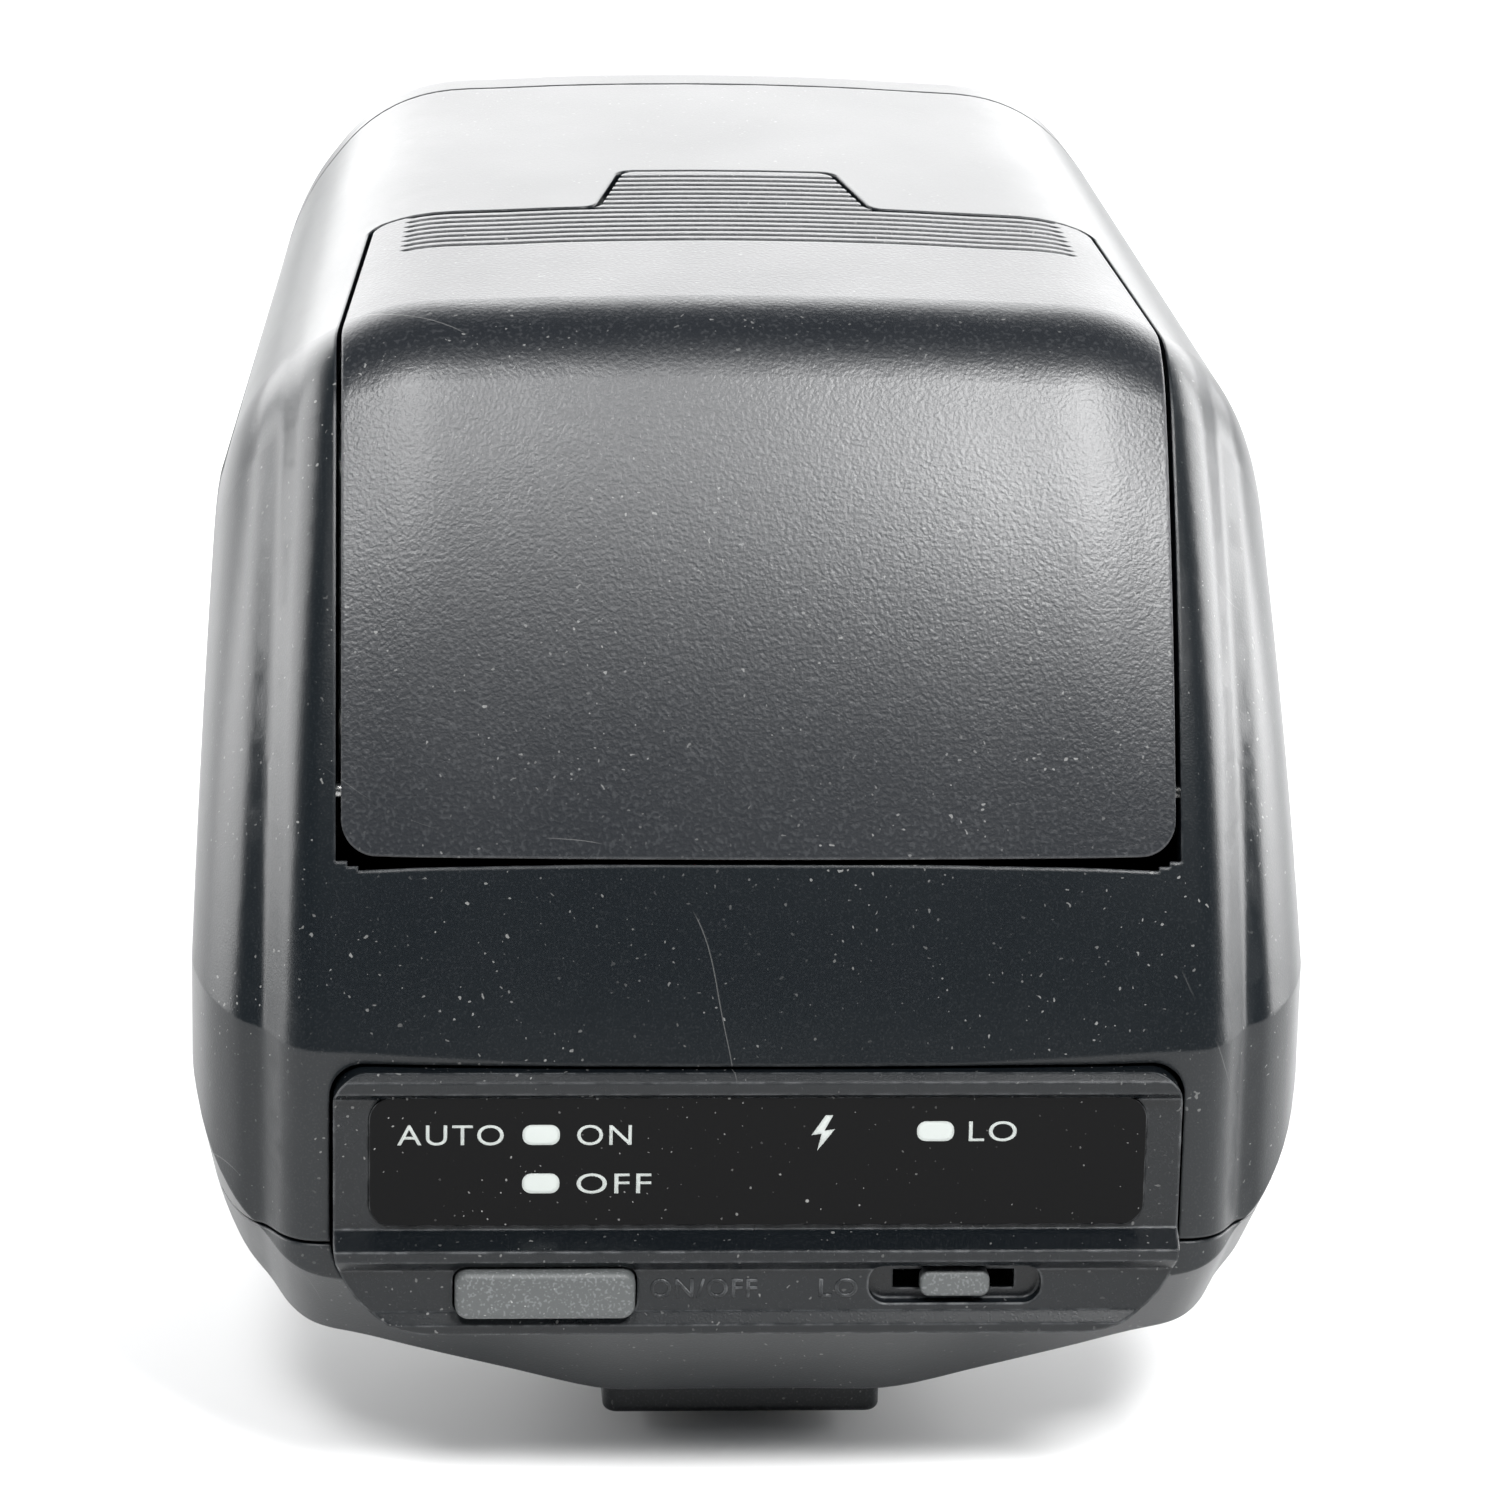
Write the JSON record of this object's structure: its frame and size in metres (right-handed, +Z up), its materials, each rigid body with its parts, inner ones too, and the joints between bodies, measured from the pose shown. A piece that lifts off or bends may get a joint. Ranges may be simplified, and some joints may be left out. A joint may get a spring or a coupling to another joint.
{
  "type": "speedlight flash",
  "caption": "Compact shoe-mount speedlight with a hinged battery door, a lamp window, a power button, a level slide and a zoom drive inside.",
  "frame": {"origin": "centre of the shoe foot's underside", "axes": "+Z up, +Y the way the flash fires, +X the user's right; the control panel faces -Y"},
  "size_m": [0.0732, 0.085, 0.0799],
  "materials": {
    "body": "satin, fine grained",
    "button": "satin",
    "window": "gloss",
    "lens": "clear, ribbed inside",
    "red": "gloss",
    "foot": "satin",
    "steel": "plain",
    "gold": "bright",
    "tray": "matt",
    "cell": "satin",
    "mirror": "polished",
    "tube": "clear",
    "electrode": "bright",
    "board": "satin",
    "lamp": "mixed"
  },
  "bodies": {
    "casing": {"rear_housing": "body", "front_housing": "body", "base_cover": "body", "control_bezel": "body", "indicator_window": "window", "flash_lens": "lens", "lamp_window": "red", "shoe_foot": "foot", "door_hinge_pins": "steel", "foot_plate": "steel", "foot_screws": "steel", "casing_screws": "steel", "guide_rods": "steel", "zoom_chassis": "steel", "chassis_screws": "steel", "motor_bracket": "steel", "battery_contacts": "steel", "battery_springs": "steel", "tray_screws": "steel", "panel_screws": "steel", "board_screws": "steel", "zoom_motor": "steel", "battery_tray": "tray", "power_switch": "tray", "level_switch": "tray", "power_transistor": "tray", "aa_cells": "cell", "main_capacitor": "cell", "control_board": "board", "main_board": "board", "indicator_lamps": "lamp", "focus_lamp": "lamp", "board_components": "lamp", "charging_transformer": "lamp", "trigger_coil": "lamp", "board_link": "lamp"},
    "door": {"battery_door": "body"},
    "power_button": {"on_off_button": "button"},
    "slide_knob": {"level_slide_knob": "button"},
    "release": {"lock_release_button": "button"},
    "locking_pin": {"lock_pin": "steel"},
    "contacts": {"contact_pins": "gold"},
    "carriage": {"reflector_carriage": "tray", "reflector": "mirror", "flash_tube": "tube", "tube_electrodes": "electrode"},
    "screw": {"lead_screw": "steel", "drive_gear": "tray"},
    "pinion": {"motor_pinion": "tray"}
  },
  "joints": [
    {"name": "battery_door_hinge", "type": "hinge", "parent": "casing", "child": "door", "pos_m": [0, -0.0126, 0.0446], "axis": [1, 0, 0], "range_deg": [0, 95]},
    {"name": "on_off_press", "type": "slide", "parent": "casing", "child": "power_button", "axis": [0, 1, 0], "range_m": [0, 0.0008], "stiffness_N_per_m": 600, "springref_m": -0.0008},
    {"name": "level_slide", "type": "slide", "parent": "casing", "child": "slide_knob", "axis": [1, 0, 0], "range_m": [-0.003, 0.003]},
    {"name": "lock_release_press", "type": "slide", "parent": "casing", "child": "release", "axis": [1, 0, 0], "range_m": [0, 0.002], "stiffness_N_per_m": 600, "springref_m": -0.0008},
    {"name": "lock_pin_lift", "type": "slide", "parent": "casing", "child": "locking_pin", "axis": [0, 0, 1], "range_m": [0, 0.0012]},
    {"name": "contact_pins_press", "type": "slide", "parent": "casing", "child": "contacts", "axis": [0, 0, 1], "range_m": [0, 0.0006], "stiffness_N_per_m": 600, "springref_m": -0.0006},
    {"name": "zoom_slide", "type": "slide", "parent": "casing", "child": "carriage", "axis": [0, 1, 0], "range_m": [-0.011, 0]},
    {"name": "lead_screw_spin", "type": "hinge", "parent": "casing", "child": "screw", "pos_m": [0.0185, 0.04, 0.036], "axis": [0, 1, 0], "range_deg": [-1340, 20]},
    {"name": "motor_pinion_spin", "type": "hinge", "parent": "casing", "child": "pinion", "pos_m": [0.02202, 0.03, 0.02772], "axis": [0, 1, 0], "range_deg": [-60, 2700]}
  ],
  "couplings": [
    {"joint": "lock_pin_lift", "follows": "lock_release_press", "ratio": 0.6},
    {"joint": "lead_screw_spin", "follows": "zoom_slide", "rad_per_m": 2094.4},
    {"joint": "motor_pinion_spin", "follows": "zoom_slide", "rad_per_m": -4188.8}
  ]
}
